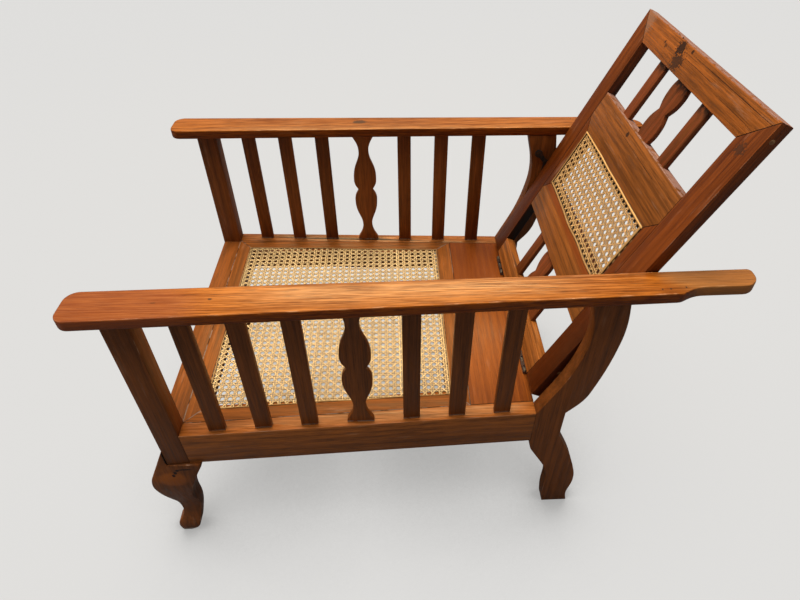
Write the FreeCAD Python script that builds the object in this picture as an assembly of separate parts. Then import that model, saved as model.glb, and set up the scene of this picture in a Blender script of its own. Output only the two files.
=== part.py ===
import FreeCAD, Part
import math
import os

# A reclining planters chair of teak with caned seat and back.
# Bench frame while building: X = 0 on the centre line and +X on the sitter's left,
# Y = 0 at the arms' front tips and +Y to the rear, seat and arms level, front feet at Z = 0.
# Each piece is turned at the end so that all four feet stand on Z = 0 and the seat slopes back.

# Overall
seat_height = 361.0
arm_height = 687.0
seat_slope_degrees = 2.2
front_foot_place = 35.0

# Side frames, which run closer together towards the rear
front_half_width = 335.5
rear_half_width = 297.0
side_stock = 32.0
side_rail_depth = 89.0
side_rail_end = 792.0

# Front posts and front rail
post_front = 57.0
post_width = 45.0
post_thickness = 37.0
front_rail_setback = 1.5
tenon_thickness = 12.0
tenon_length = 20.0
tenon_shoulder = 14.0
front_rail_tenon_length = 13.0

# Arms
arm_length = 1100.0
arm_thickness = 20.0
arm_front_overhang = 20.0
arm_front_width = 72.0
arm_step_overhang = 22.0
arm_step_place = 970.0
arm_tail_toe = 1.3
arm_tail_width = 41.5
arm_step_run = 27.0
arm_edge_ease = 1.4
arm_tenon_height = 9.0

# Slats under the arms
slat_width = 32.0
slat_thickness = 11.0
slat_inset = 9.0
slat_pitch = 88.5
slat_count = 3
vase_slat_place = 449.5
vase_slat_spacing = 98.5
vase_slat_half_width = 28.0
slat_stub = 8.0

# Rear legs, each sawn from one plank
rear_leg_thickness = 30.0
rear_leg_sweep = 120.0

# Front legs
front_leg_depth = 37.0

# Seat
seat_frame_thickness = 22.0
seat_frame_front_width = 30.5
seat_frame_side_width = 29.6
seat_frame_rear_width = 35.0
rear_board_width = 126.0
rear_rail_thickness = 26.0
rear_rail_tenon_length = 12.0
bearer_width = 42.0
bearer_depth = 22.0

# Cane
cane_thickness = 1.5
cane_recess = 1.7
cane_ledge = 12.0
cane_clearance = 0.3
cane_hole = 19.0
seat_net_pitch = 32.0
back_net_pitch = 24.0

# Back, measured up its own slope from the hinge pins
back_tilt_degrees = 24.7
back_side_clearance = 5.2
back_stile_width = 54.5
back_thickness = 21.0
back_foot = 10.0
back_bottom_rail_top = 56.0
back_lower_rail_foot = 168.0
back_cane_foot = 244.5
back_cane_top = 383.5
back_upper_rail_top = 465.0
back_top_rail_foot = 575.0
back_height = 627.0
back_strip_width = 25.5
back_slat_width = 31.0
back_slat_thickness = 9.0
back_slat_setback = 5.0
back_slat_stub = 8.0
upper_slat_spacing = 96.0
lower_slat_spacing = 78.0
back_vase_half_width = 26.0
back_tenon_length = 16.0
back_tenon_thickness = 8.0
back_tenon_shoulder = 8.0

# Hinges
hinge_place = 162.0
hinge_length = 66.0
hinge_leaf_thickness = 2.2
hinge_leaf_drop = 32.0
hinge_pin_radius = 2.4
hinge_pin_clearance = 0.06
hinge_knuckle_radius = 4.8
hinge_knuckle_count = 5
hinge_knuckle_gap = 0.3
hinge_axis_above_seat = 5.3
hinge_axis_before_edge = 5.0
hinge_axis_in_back = 5.2

# Rest rod and its hooks
rod_radius = 6.0
rod_below_arm = 119.0
rod_rest_gap = 0.3
rod_end_clearance = 0.5
hook_thickness = 3.6
hook_bar_width = 10.0
hook_cradle_wall = 8.0
hook_cradle_clearance = 0.3
hook_eye_radius = 9.0
hook_eye_forward = 27.0
hook_eye_rise = 73.0
hook_bend_forward = 7.0
hook_bend_rise = 50.0
hook_throat_forward = 13.0
hook_throat_rise = 12.0
hook_lip_rise = 5.0

# Outlines as shares: how far along the plank's sweep or the post's width, and of the height
rear_leg_above_shares = [
    (0.383, 1.0), (0.583, 0.70), (0.417, 0.356), (0.0, 0.0)]
rear_leg_below_front_shares = [
    (0.0, 0.0), (0.01, 0.108), (0.45, 0.4875), (0.44, 0.82), (0.483, 1.0)]
rear_leg_below_rear_shares = [
    (0.95, 1.0), (0.90, 0.875), (0.99, 0.6125), (0.817, 0.30), (0.475, -0.0625)]
rear_leg_behind_shares = [
    (0.475, 0.0), (0.733, 0.127), (0.925, 0.428), (1.017, 0.748), (0.925, 1.0)]
front_leg_front_shares = [
    (-1.11, 0.78), (-0.956, 0.618), (-0.576, 0.428), (-0.449, 0.233), (-1.0, 0.103), (-0.844, 0.0)]
front_leg_rear_shares = [
    (-0.42, 0.0), (0.04, 0.04), (0.30, 0.19), (0.578, 0.386), (0.50, 0.615), (1.08, 0.85), (1.58, 1.0)]
front_leg_outer_shares = [
    (-0.05, 1.2), (-0.05, 0.98), (-0.26, 0.76), (-0.08, 0.57), (0.35, 0.37), (0.27, 0.25), (0.0, 0.07), (0.08, -0.05)]
front_leg_inner_shares = [
    (0.90, -0.05), (0.90, 0.22), (1.03, 0.44), (1.0, 1.2)]
front_leg_wedge_share = 0.5
vase_shares = [
    (0.93, 1.0), (0.93, 0.955), (0.46, 0.80), (0.40, 0.62), (0.98, 0.34), (1.0, 0.12), (0.62, 0.0)]
back_vase_shares = [
    (0.86, 1.0), (1.05, 0.70), (0.96, 0.30), (0.58, 0.0)]
arm_front_corner_share = 0.62
arm_step_corner_share = 0.35
arm_tail_corner_share = 1.25
arm_tail_inner_corner_share = 0.4
smooth_share = 0.98
half = 0.5

# Worked out from the sizes above
across = FreeCAD.Vector(1, 0, 0)
along = FreeCAD.Vector(0, 1, 0)
upward = FreeCAD.Vector(0, 0, 1)
origin = FreeCAD.Vector(0, 0, 0)
slope = math.radians(seat_slope_degrees)
arm_underside = arm_height - arm_thickness
rail_bottom = seat_height - side_rail_depth
post_rear = post_front + post_width
seat_frame_rear = side_rail_end - rear_board_width
hinge_axis_y = side_rail_end - hinge_axis_before_edge
hinge_axis_z = seat_height + hinge_axis_above_seat
back_half_width = rear_half_width - rear_leg_thickness - back_side_clearance
opening_half_width = back_half_width - back_stile_width
cane_half_width = opening_half_width - back_strip_width
arm_front_outer = front_half_width + arm_front_overhang
arm_front_inner = arm_front_outer - arm_front_width
arm_step_outer = rear_half_width + arm_step_overhang
arm_rear_inner = back_half_width - arm_tail_toe
parts = {}


def place_top(x, y, z=0.0):
    """A point of a plan outline."""
    return FreeCAD.Vector(x, y, z)


def place_side(y, z):
    """A point of an outline seen from the side, in the plane X = 0."""
    return FreeCAD.Vector(0, y, z)


def place_front(x, z):
    """A point of an outline seen from the front, in the plane Y = 0."""
    return FreeCAD.Vector(x, 0, z)


def rounded_corner(before, corner, after, share):
    """The arc that rounds a corner, as its start, middle and end. It takes a share of half the shorter run."""
    back = before - corner
    ahead = after - corner
    reach = share * half * min(back.Length, ahead.Length)
    back.normalize()
    ahead.normalize()
    opening = back.getAngle(ahead) * half
    middle_way = (back + ahead).normalize()
    middle = corner + middle_way * (reach / math.cos(opening) - reach * math.tan(opening))
    return corner + back * reach, middle, corner + ahead * reach


def outline_face(points, shares):
    """A flat face inside a closed outline. A corner with a share is rounded, the others are sharp."""
    edges = []
    count = len(points)
    ends = []
    for index in range(count):
        if shares[index]:
            arc = rounded_corner(points[index - 1], points[index], points[(index + 1) % count], shares[index])
            edges.append(Part.Arc(*arc).toShape())
            ends.append((arc[0], arc[2]))
        else:
            ends.append((points[index], points[index]))
    for index in range(count):
        start = ends[index][1]
        end = ends[(index + 1) % count][0]
        edges.append(Part.LineSegment(start, end).toShape())
    return Part.Face(Part.Wire(Part.__sortEdges__(edges)))


def prism(points, direction, shares=None):
    """A closed outline carried along a direction."""
    return outline_face(points, shares or [0] * len(points)).extrude(direction)


def block(x0, x1, y0, y1, z0, z1):
    """A square block between two opposite corners."""
    return Part.makeBox(x1 - x0, y1 - y0, z1 - z0, FreeCAD.Vector(x0, y0, z0))


def side_x(y, inset=0.0):
    """Half width at the side frame's outer face, less an inset, at a place along the chair."""
    run = (y - post_front) / (side_rail_end - post_front)
    return front_half_width + (rear_half_width - front_half_width) * run - inset


def floor_z(y):
    """Height of the floor in the bench frame, where the seat is level."""
    return (y - front_foot_place) * math.tan(slope)


def side_prism(y0, y1, inset0, inset1, z0, z1):
    """A piece of the side frame that follows its outer face, on the sitter's left."""
    points = [place_top(side_x(y0, inset1), y0, z0), place_top(side_x(y0, inset0), y0, z0),
              place_top(side_x(y1, inset0), y1, z0), place_top(side_x(y1, inset1), y1, z0)]
    return prism(points, upward * (z1 - z0))


def mirrored(shape):
    """The same piece on the sitter's right."""
    return shape.mirror(origin, across)


def both(name, shape):
    """Keeps a piece for the sitter's left and its mirror image for the right."""
    parts[name + "_left"] = shape
    parts[name + "_right"] = mirrored(shape)


def side_rail_tenons():
    """Tenons at the two ends of a side rail."""
    edge = (side_stock - tenon_thickness) * half
    low = rail_bottom + tenon_shoulder
    high = seat_height - tenon_shoulder
    front = side_prism(post_rear - tenon_length, post_rear, edge, edge + tenon_thickness, low, high)
    rear = side_prism(side_rail_end, side_rail_end + tenon_length, edge, edge + tenon_thickness, low, high)
    return front, rear


def straight_slats():
    """The upright slats of one side, in the order from front to rear."""
    slats = []
    for way in (-1, 1):
        for step in range(slat_count):
            centre = vase_slat_place + way * (vase_slat_spacing + step * slat_pitch)
            slats.append((centre, side_prism(centre - slat_width * half, centre + slat_width * half, slat_inset,
                                             slat_inset + slat_thickness, seat_height - slat_stub,
                                             arm_underside + slat_stub)))
    return [slat for centre, slat in sorted(slats, key=lambda pair: pair[0])]


def vase_points(shares, half_width, half_height, stub, centre_y, centre_z, place):
    """Outline of a shaped slat, alike on both sides and above and below its waist, with its rounding."""
    quarter = [(width * half_width, height * half_height) for width, height in shares]
    tip = (quarter[0][0], half_height + stub)
    right_top = [tip] + quarter
    right = right_top + [(width, -height) for width, height in reversed(right_top[:-1])]
    left = [(-width, height) for width, height in reversed(right)]
    points = [place(centre_y + width, centre_z + height) for width, height in right + left]
    rounding = [0, 0] + [smooth_share] * (len(quarter) - 2) + [0]
    side_rounding = rounding + list(reversed(rounding[:-1]))
    return points, side_rounding + list(reversed(side_rounding))


def vase_slat():
    """The shaped slat in the middle of a side."""
    half_height = (arm_underside - seat_height) * half
    points, rounding = vase_points(vase_shares, vase_slat_half_width, half_height, slat_stub, vase_slat_place,
                                   seat_height + half_height, place_side)
    slat = prism(points, across * slat_thickness, rounding)
    return slat.translated(across * side_x(vase_slat_place, slat_inset + slat_thickness))


def front_post():
    """Square post from the rail's lower edge to the arm, with a stub into the arm."""
    body = side_prism(post_front, post_rear, 0.0, post_thickness, rail_bottom, arm_underside)
    edge = (post_width - post_thickness + tenon_length) * half
    stub = side_prism(post_front + edge, post_rear - edge, tenon_thickness, post_thickness - tenon_thickness,
                      arm_underside, arm_underside + arm_tenon_height)
    return body.fuse(stub)


def front_rail():
    """Rail across the front between the posts, tenoned into them."""
    front = post_front + front_rail_setback
    ends = [place_top(side_x(front, post_thickness), front, rail_bottom),
            place_top(side_x(post_rear, post_thickness), post_rear, rail_bottom)]
    far_ends = [place_top(-point.x, point.y, point.z) for point in reversed(ends)]
    rail = prism(ends + far_ends, upward * side_rail_depth)
    reach = side_x(post_rear, post_thickness) + front_rail_tenon_length
    middle = post_front + post_width * half
    tenon = block(-reach, reach, middle - tenon_thickness * half, middle + tenon_thickness * half,
                  rail_bottom + tenon_shoulder, seat_height - tenon_shoulder)
    return rail.fuse(tenon)


def rear_leg():
    """Curved leg and post in one plank, which bows forward at the rail."""
    above = arm_underside - seat_height
    def over(pair):
        return place_side(side_rail_end + pair[0] * rear_leg_sweep, seat_height + pair[1] * above)
    def under(pair):
        y = side_rail_end + pair[0] * rear_leg_sweep
        return place_side(y, rail_bottom - pair[1] * (rail_bottom - floor_z(y)))
    chain = [over(pair) for pair in rear_leg_above_shares]
    rounding = [0] + [smooth_share] * (len(chain) - 2) + [0]
    chain += [under(pair) for pair in rear_leg_below_front_shares]
    rounding += [0] + [smooth_share] * (len(rear_leg_below_front_shares) - 2) + [0]
    chain += [under(pair) for pair in rear_leg_below_rear_shares]
    rounding += [0] + [smooth_share] * (len(rear_leg_below_rear_shares) - 2) + [0]
    chain += [over(pair) for pair in rear_leg_behind_shares]
    rounding += [0] + [smooth_share] * (len(rear_leg_behind_shares) - 2) + [0]
    plank = prism(chain, across * rear_leg_thickness, rounding)
    plank = plank.translated(across * (rear_half_width - rear_leg_thickness))
    stub_front = side_rail_end + rear_leg_above_shares[0][0] * rear_leg_sweep + tenon_thickness
    stub_rear = side_rail_end + rear_leg_behind_shares[-1][0] * rear_leg_sweep - tenon_thickness
    edge = (rear_leg_thickness - tenon_thickness) * half
    stub = block(rear_half_width - rear_leg_thickness + edge, rear_half_width - edge, stub_front, stub_rear,
                 arm_underside, arm_underside + arm_tenon_height)
    return plank.fuse(stub)


def front_leg():
    """Cabriole leg under the corner: a side outline and a front outline cut one block."""
    def side_point(pair):
        return place_side(post_front + pair[0] * post_width, pair[1] * rail_bottom)
    tip = place_side(post_front, rail_bottom + front_leg_wedge_share * side_rail_depth)
    seat = place_side(post_front, rail_bottom)
    front = [side_point(pair) for pair in front_leg_front_shares]
    front[-1].z = floor_z(front[-1].y)
    rear = [side_point(pair) for pair in front_leg_rear_shares]
    rear[0].z = floor_z(rear[0].y)
    curve = [smooth_share] * (len(front) - 1)
    side = prism([tip] + front + rear + [seat], across * (front_half_width + front_leg_depth),
                 [0] + curve + [0, 0] + [smooth_share] * (len(rear) - 2) + [0, 0])
    outer = [place_front(front_half_width - inset * front_leg_depth, height * rail_bottom)
             for inset, height in front_leg_outer_shares]
    inner = [place_front(front_half_width - inset * front_leg_depth, height * rail_bottom)
             for inset, height in front_leg_inner_shares]
    rounding = [0] + [smooth_share] * (len(outer) - 2) + [0, 0] + [smooth_share] * (len(inner) - 2) + [0]
    front_view = prism(outer + inner, along * (post_rear + post_width), rounding)
    front_view = front_view.translated(along * (-post_width * half))
    return side.common(front_view)


def arm_outline():
    """Plan of an arm: rounded front, a step on the outer side and a narrower tail."""
    outer_slope = (arm_front_outer - arm_step_outer) / arm_step_place
    inner_slope = (arm_front_inner - arm_rear_inner) / arm_length
    tail_start = arm_step_place + arm_step_run
    tail_outer = arm_front_inner - inner_slope * tail_start + arm_tail_width
    tail_end_outer = arm_rear_inner + arm_tail_width
    points = [place_top(arm_front_inner, 0.0, arm_underside),
              place_top(arm_step_outer + outer_slope * arm_step_place, 0.0, arm_underside),
              place_top(arm_step_outer, arm_step_place, arm_underside),
              place_top(tail_outer, tail_start, arm_underside),
              place_top(tail_end_outer, arm_length, arm_underside),
              place_top(arm_rear_inner, arm_length, arm_underside)]
    rounding = [arm_front_corner_share, arm_front_corner_share, arm_step_corner_share, smooth_share,
                arm_tail_corner_share, arm_tail_inner_corner_share]
    return points, rounding


def arm():
    """Long flat arm with eased edges."""
    points, rounding = arm_outline()
    blank = prism(points, upward * arm_thickness, rounding)
    flat_edges = [edge for edge in blank.Edges if abs(edge.BoundBox.ZLength) < arm_edge_ease]
    return blank.makeChamfer(arm_edge_ease, flat_edges)


def frame_corner(y, inset):
    """A corner of the seat frame on the sitter's left."""
    return place_top(side_x(y, side_stock + inset), y)


def seat_frame_member(outer, inner, ledge, z_top):
    """A mitred member with a ledge under its inner edge, on which the cane lies."""
    lift = upward * (z_top - cane_recess - cane_thickness)
    upper = prism([point + lift for point in outer + inner], upward * (cane_recess + cane_thickness))
    drop = upward * (z_top - seat_frame_thickness)
    lower = prism([point + drop for point in outer + ledge],
                  upward * (seat_frame_thickness - cane_recess - cane_thickness))
    return upper.fuse(lower).removeSplitter()


def seat_frame():
    """Front, rear and side members of the caned seat frame."""
    y_front = post_rear
    y_rear = seat_frame_rear
    y_front_in = y_front + seat_frame_front_width
    y_rear_in = y_rear - seat_frame_rear_width
    outer = [frame_corner(y_front, 0.0), frame_corner(y_rear, 0.0)]
    inner = [frame_corner(y_front_in, seat_frame_side_width), frame_corner(y_rear_in, seat_frame_side_width)]
    ledge_inset = seat_frame_side_width + cane_ledge
    ledge = [frame_corner(y_front_in + cane_ledge, ledge_inset), frame_corner(y_rear_in - cane_ledge, ledge_inset)]

    def across_pair(point):
        return [place_top(-point.x, point.y), place_top(point.x, point.y)]

    def turned(pair):
        return list(reversed(pair))

    parts["seat_frame_front"] = seat_frame_member(
        across_pair(outer[0]), turned(across_pair(inner[0])), turned(across_pair(ledge[0])), seat_height)
    parts["seat_frame_rear"] = seat_frame_member(
        across_pair(outer[1]), turned(across_pair(inner[1])), turned(across_pair(ledge[1])), seat_height)
    both("seat_frame_side", seat_frame_member(outer, turned(inner), turned(ledge), seat_height))
    return inner, ledge


def holed_sheet(outline, holes, direction):
    """A thin sheet with square holes, made as one holed face."""
    face = Part.Face([Part.makePolygon(outline + outline[:1])] +
                     [Part.makePolygon(hole + hole[:1]) for hole in holes])
    face.validate()
    return face.extrude(direction)


def seat_cane(inner, ledge):
    """The woven seat as a net, narrower at the rear like its frame."""
    z = seat_height - cane_recess - cane_thickness
    gap = cane_clearance
    outline = [place_top(-inner[0].x + gap, inner[0].y + gap, z), place_top(inner[0].x - gap, inner[0].y + gap, z),
               place_top(inner[1].x - gap, inner[1].y - gap, z), place_top(-inner[1].x + gap, inner[1].y - gap, z)]
    holes = []
    run = ledge[1].y - ledge[0].y
    seat_holes_along = round(run / seat_net_pitch)
    seat_holes_across = round((ledge[0].x + ledge[0].x) / seat_net_pitch)
    pitch_y = run / seat_holes_along
    for row in range(seat_holes_along):
        y = ledge[0].y + (row + half) * pitch_y
        half_row = ledge[0].x + (ledge[1].x - ledge[0].x) * (row + half) / seat_holes_along
        pitch_x = (half_row + half_row) / seat_holes_across
        for column in range(seat_holes_across):
            x = -half_row + (column + half) * pitch_x
            holes.append(square_hole(x, y, lambda a, b: place_top(a, b, z)))
    return holed_sheet(outline, holes, upward * cane_thickness)


def square_hole(a, b, place):
    """Corners of one square hole of a net."""
    side = cane_hole * half
    return [place(a - side, b - side), place(a - side, b + side), place(a + side, b + side), place(a + side, b - side)]


def seat_supports():
    """Rear rail, rear board and the bearers under the seat frame."""
    rail_front = side_rail_end - rear_rail_thickness
    board_bottom = seat_height - seat_frame_thickness
    corners = [place_top(side_x(rail_front, side_stock), rail_front, rail_bottom),
               place_top(side_x(side_rail_end, side_stock), side_rail_end, rail_bottom)]
    far = [place_top(-point.x, point.y, point.z) for point in reversed(corners)]
    rail = prism(corners + far, upward * (board_bottom - rail_bottom))
    reach = side_x(side_rail_end, side_stock) + rear_rail_tenon_length
    tenon_front = rail_front + (rear_rail_thickness - tenon_thickness) * half
    tenon = block(-reach, reach, tenon_front, tenon_front + tenon_thickness, rail_bottom + tenon_shoulder,
                  board_bottom - tenon_shoulder)
    parts["rear_rail"] = rail.fuse(tenon)
    corners = [place_top(side_x(seat_frame_rear, side_stock), seat_frame_rear, board_bottom),
               place_top(side_x(side_rail_end, side_stock), side_rail_end, board_bottom)]
    far = [place_top(-point.x, point.y, point.z) for point in reversed(corners)]
    parts["rear_board"] = prism(corners + far, upward * seat_frame_thickness)
    both("seat_bearer", side_prism(post_rear, rail_front, side_stock, side_stock + bearer_width,
                                   board_bottom - bearer_depth, board_bottom))


def side_frames():
    """Posts, rails, legs, slats and arms of both sides, each with the mortises for its neighbours."""
    slats = straight_slats()
    vase = vase_slat()
    front_tenon, rear_tenon = side_rail_tenons()
    rail = side_prism(post_rear, side_rail_end, 0.0, side_stock, rail_bottom, seat_height)
    rail = rail.fuse([front_tenon, rear_tenon])
    rail = rail.cut(slats + [vase, parts["rear_rail"]])
    post = front_post().cut([front_tenon, parts["front_rail"]])
    leg = rear_leg().cut(rear_tenon)
    long_arm = arm().cut(slats + [vase, post, leg])
    both("arm", long_arm)
    both("front_post", post)
    both("front_leg", front_leg())
    both("rear_leg", leg)
    both("side_rail", rail)
    both("vase_slat", vase)
    for index, slat in enumerate(slats):
        both("side_slat_%d" % (index + 1), slat)


def back_piece(points, front=0.0, depth=back_thickness, shares=None):
    """A piece of the back, drawn upright as seen from the front, its front face on Y = front."""
    flat = [place_front(x, z) + along * front for x, z in points]
    return prism(flat, along * depth, shares)


def leaned(shape):
    """Turns a piece of the back from upright to its place on the hinge pins."""
    moved = shape.translated(FreeCAD.Vector(0, -hinge_axis_in_back, 0))
    moved = moved.rotated(origin, across, -back_tilt_degrees)
    return moved.translated(FreeCAD.Vector(0, hinge_axis_y, hinge_axis_z))


def mirrored_points(points):
    """The outline on the other side, in the opposite order."""
    return [(-x, z) for x, z in reversed(points)]


def back_rail_tenon(foot, top):
    """Tenon that runs through a back rail into both stiles."""
    reach = opening_half_width + back_tenon_length
    front = (back_thickness - back_tenon_thickness) * half
    return block(-reach, reach, front, front + back_tenon_thickness, foot + back_tenon_shoulder,
                 top - back_tenon_shoulder)


def back_ledge(points):
    """The part of a cane rail behind the cane, which carries its edge."""
    front = cane_recess + cane_thickness
    return back_piece(points, front, back_thickness - front)


def back_slats():
    """Three slats above the caned panel and three below, in the two open panels of the back."""
    slats = {}
    rows = (("upper", back_upper_rail_top, back_top_rail_foot, upper_slat_spacing),
            ("lower", back_bottom_rail_top, back_lower_rail_foot, lower_slat_spacing))
    for row, foot, top, spacing in rows:
        for name, centre in (("left", spacing), ("right", -spacing)):
            edge = back_slat_width * half
            slats["back_%s_slat_%s" % (row, name)] = block(
                centre - edge, centre + edge, back_slat_setback, back_slat_setback + back_slat_thickness,
                foot - back_slat_stub, top + back_slat_stub)
        half_height = (top - foot) * half
        points, rounding = vase_points(back_vase_shares, back_vase_half_width, half_height, back_slat_stub, 0.0,
                                       foot + half_height, place_front)
        vase = prism(points, along * back_slat_thickness, rounding)
        slats["back_%s_vase_slat" % row] = vase.translated(along * back_slat_setback)
    return slats


def back_frame():
    """Stiles, rails, strips and slats of the reclining back."""
    stile_points = [(opening_half_width, back_foot), (back_half_width, back_foot), (back_half_width, back_height),
                    (opening_half_width, back_top_rail_foot)]
    inner = opening_half_width
    strip = back_strip_width
    ledge_half = cane_half_width - cane_ledge
    upper_right = [(inner, back_upper_rail_top), (inner, back_cane_top + strip), (cane_half_width, back_cane_top)]
    lower_right = [(cane_half_width, back_cane_foot), (inner, back_cane_foot - strip), (inner, back_lower_rail_foot)]
    upper_ledge = [(cane_half_width, back_cane_top), (ledge_half, back_cane_top - cane_ledge)]
    lower_ledge = [(ledge_half, back_cane_foot + cane_ledge), (cane_half_width, back_cane_foot)]
    upper = back_piece(upper_right + mirrored_points(upper_right)).fuse(
        back_ledge(upper_ledge + mirrored_points(upper_ledge)))
    lower = back_piece(lower_right + mirrored_points(lower_right)).fuse(
        back_ledge(lower_ledge + mirrored_points(lower_ledge)))
    strip_piece = back_piece([(cane_half_width, back_cane_top), (inner, back_cane_top + strip),
                              (inner, back_cane_foot - strip), (cane_half_width, back_cane_foot)]).fuse(
        back_ledge([(cane_half_width, back_cane_top), (cane_half_width, back_cane_foot),
                    (ledge_half, back_cane_foot + cane_ledge), (ledge_half, back_cane_top - cane_ledge)]))
    bottom_right = [(inner, back_foot), (inner, back_bottom_rail_top)]
    bottom = back_piece(bottom_right + mirrored_points(bottom_right))
    top_right = [(inner, back_top_rail_foot), (back_half_width, back_height)]
    top = back_piece(top_right + mirrored_points(top_right))
    tenons = [back_rail_tenon(back_foot, back_bottom_rail_top),
              back_rail_tenon(back_lower_rail_foot, back_cane_foot - strip),
              back_rail_tenon(back_cane_top + strip, back_upper_rail_top)]
    slats = back_slats()
    cut_by = list(slats.values())
    stile = back_piece(stile_points).cut(tenons)
    both("back_stile", leaned(stile))
    both("back_cane_strip", leaned(strip_piece.removeSplitter()))
    parts["back_bottom_rail"] = leaned(bottom.fuse(tenons[0]).cut(cut_by).removeSplitter())
    parts["back_lower_rail"] = leaned(lower.fuse(tenons[1]).cut(cut_by).removeSplitter())
    parts["back_upper_rail"] = leaned(upper.fuse(tenons[2]).cut(cut_by).removeSplitter())
    parts["back_top_rail"] = leaned(top.cut(cut_by))
    for name, slat in slats.items():
        parts[name] = leaned(slat)
    parts["back_cane"] = leaned(back_cane(ledge_half))


def back_cane(ledge_half):
    """The woven panel of the back as a net."""
    gap = cane_clearance
    front = along * cane_recess
    corners = [(-cane_half_width + gap, back_cane_foot + gap), (cane_half_width - gap, back_cane_foot + gap),
               (cane_half_width - gap, back_cane_top - gap), (-cane_half_width + gap, back_cane_top - gap)]
    outline = [place_front(x, z) + front for x, z in corners]
    low = back_cane_foot + cane_ledge
    run = back_cane_top - cane_ledge - low
    back_holes_along = round(run / back_net_pitch)
    back_holes_across = round((ledge_half + ledge_half) / back_net_pitch)
    pitch_z = run / back_holes_along
    pitch_x = (ledge_half + ledge_half) / back_holes_across
    holes = []
    for row in range(back_holes_along):
        for column in range(back_holes_across):
            x = -ledge_half + (column + half) * pitch_x
            z = low + (row + half) * pitch_z
            holes.append(square_hole(x, z, lambda a, b: place_front(a, b) + front))
    return holed_sheet(outline, holes, along * cane_thickness)


def knuckles(first):
    """Start and end along X of every second knuckle of a hinge, from the given one."""
    length = hinge_length / hinge_knuckle_count
    spans = []
    for index in range(first, hinge_knuckle_count, 2):
        start = hinge_place - hinge_length * half + index * length + hinge_knuckle_gap * half
        spans.append((start, start + length - hinge_knuckle_gap))
    return spans


def tube_along_x(start, end, radius):
    """A round bar along X on the line Y = Z = 0."""
    return Part.makeCylinder(radius, end - start, FreeCAD.Vector(start, 0, 0), across)


def seat_leaf():
    """Hinge leaf on the rear edge of the rear board, with three knuckles."""
    low = hinge_place - hinge_length * half
    plate = block(low, low + hinge_length, hinge_axis_before_edge, hinge_axis_before_edge + hinge_leaf_thickness,
                  -hinge_leaf_drop, hinge_leaf_thickness * half)
    pieces = []
    for start, end in knuckles(0):
        pieces.append(tube_along_x(start, end, hinge_knuckle_radius))
        pieces.append(block(start, end, 0.0, hinge_axis_before_edge + hinge_leaf_thickness,
                            -hinge_leaf_thickness * half, hinge_leaf_thickness * half))
    leaf = plate.fuse(pieces).cut(pin_bore())
    return leaf.translated(FreeCAD.Vector(0, hinge_axis_y, hinge_axis_z))


def back_leaf():
    """Hinge leaf under the back's bottom rail, with two knuckles."""
    low = hinge_place - hinge_length * half
    plate = block(low, low + hinge_length, hinge_leaf_thickness * half, back_thickness,
                  back_foot - hinge_leaf_thickness, back_foot)
    front = hinge_axis_in_back - hinge_knuckle_radius
    pieces = []
    for start, end in knuckles(1):
        pieces.append(tube_along_x(start, end, hinge_knuckle_radius).translated(along * hinge_axis_in_back))
        pieces.append(block(start, end, front, front + hinge_leaf_thickness, 0.0, back_foot))
    leaf = plate.fuse(pieces).cut(pin_bore().translated(along * hinge_axis_in_back))
    return leaned(leaf)


def pin_bore():
    """The running bore for a hinge pin."""
    low = hinge_place - hinge_length
    return tube_along_x(low, low + hinge_length + hinge_length, hinge_pin_radius + hinge_pin_clearance)


def hinges():
    """Two butt hinges, whose knuckles stand on the seat's rear arris."""
    both("hinge_seat_leaf", seat_leaf())
    both("hinge_back_leaf", back_leaf())
    low = hinge_place - hinge_length * half
    pin = tube_along_x(low, low + hinge_length, hinge_pin_radius)
    pin = pin.translated(FreeCAD.Vector(0, hinge_axis_y, hinge_axis_z))
    both("hinge_pin", pin)


def rod_centre():
    """Middle of the rest rod, against the back's rear face at its height below the arms."""
    tilt = math.radians(back_tilt_degrees)
    behind = back_thickness + rod_radius + rod_rest_gap - hinge_axis_in_back
    z = arm_underside - rod_below_arm
    up_back = (z - hinge_axis_z + behind * math.sin(tilt)) / math.cos(tilt)
    return place_side(hinge_axis_y + up_back * math.sin(tilt) + behind * math.cos(tilt), z)


def rest_rod():
    """Round iron rod across the chair on which the back rests."""
    reach = rear_half_width - rear_leg_thickness - rod_end_clearance
    return tube_along_x(-reach, reach, rod_radius).translated(rod_centre())


def flat_bar(start, end, width):
    """A flat bar of the hook between two points, with round ends."""
    way = end - start
    length = way.Length
    way.normalize()
    edge = FreeCAD.Vector(0, -way.z, way.y) * (width * half)
    bar = prism([start + edge, end + edge, end - edge, start - edge], across * hook_thickness)
    caps = [Part.makeCylinder(width * half, hook_thickness, point, across) for point in (start, end)]
    return bar.fuse(caps)


def cradle_shape(radius):
    """A disc with a straight-sided mouth that opens along the back's slope, for one radius of the cradle."""
    disc = Part.makeCylinder(radius, hook_thickness, origin, across)
    mouth = block(0.0, hook_thickness, -radius, radius, 0.0, hook_lip_rise)
    return disc.fuse(mouth).rotated(origin, across, -back_tilt_degrees)


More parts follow.
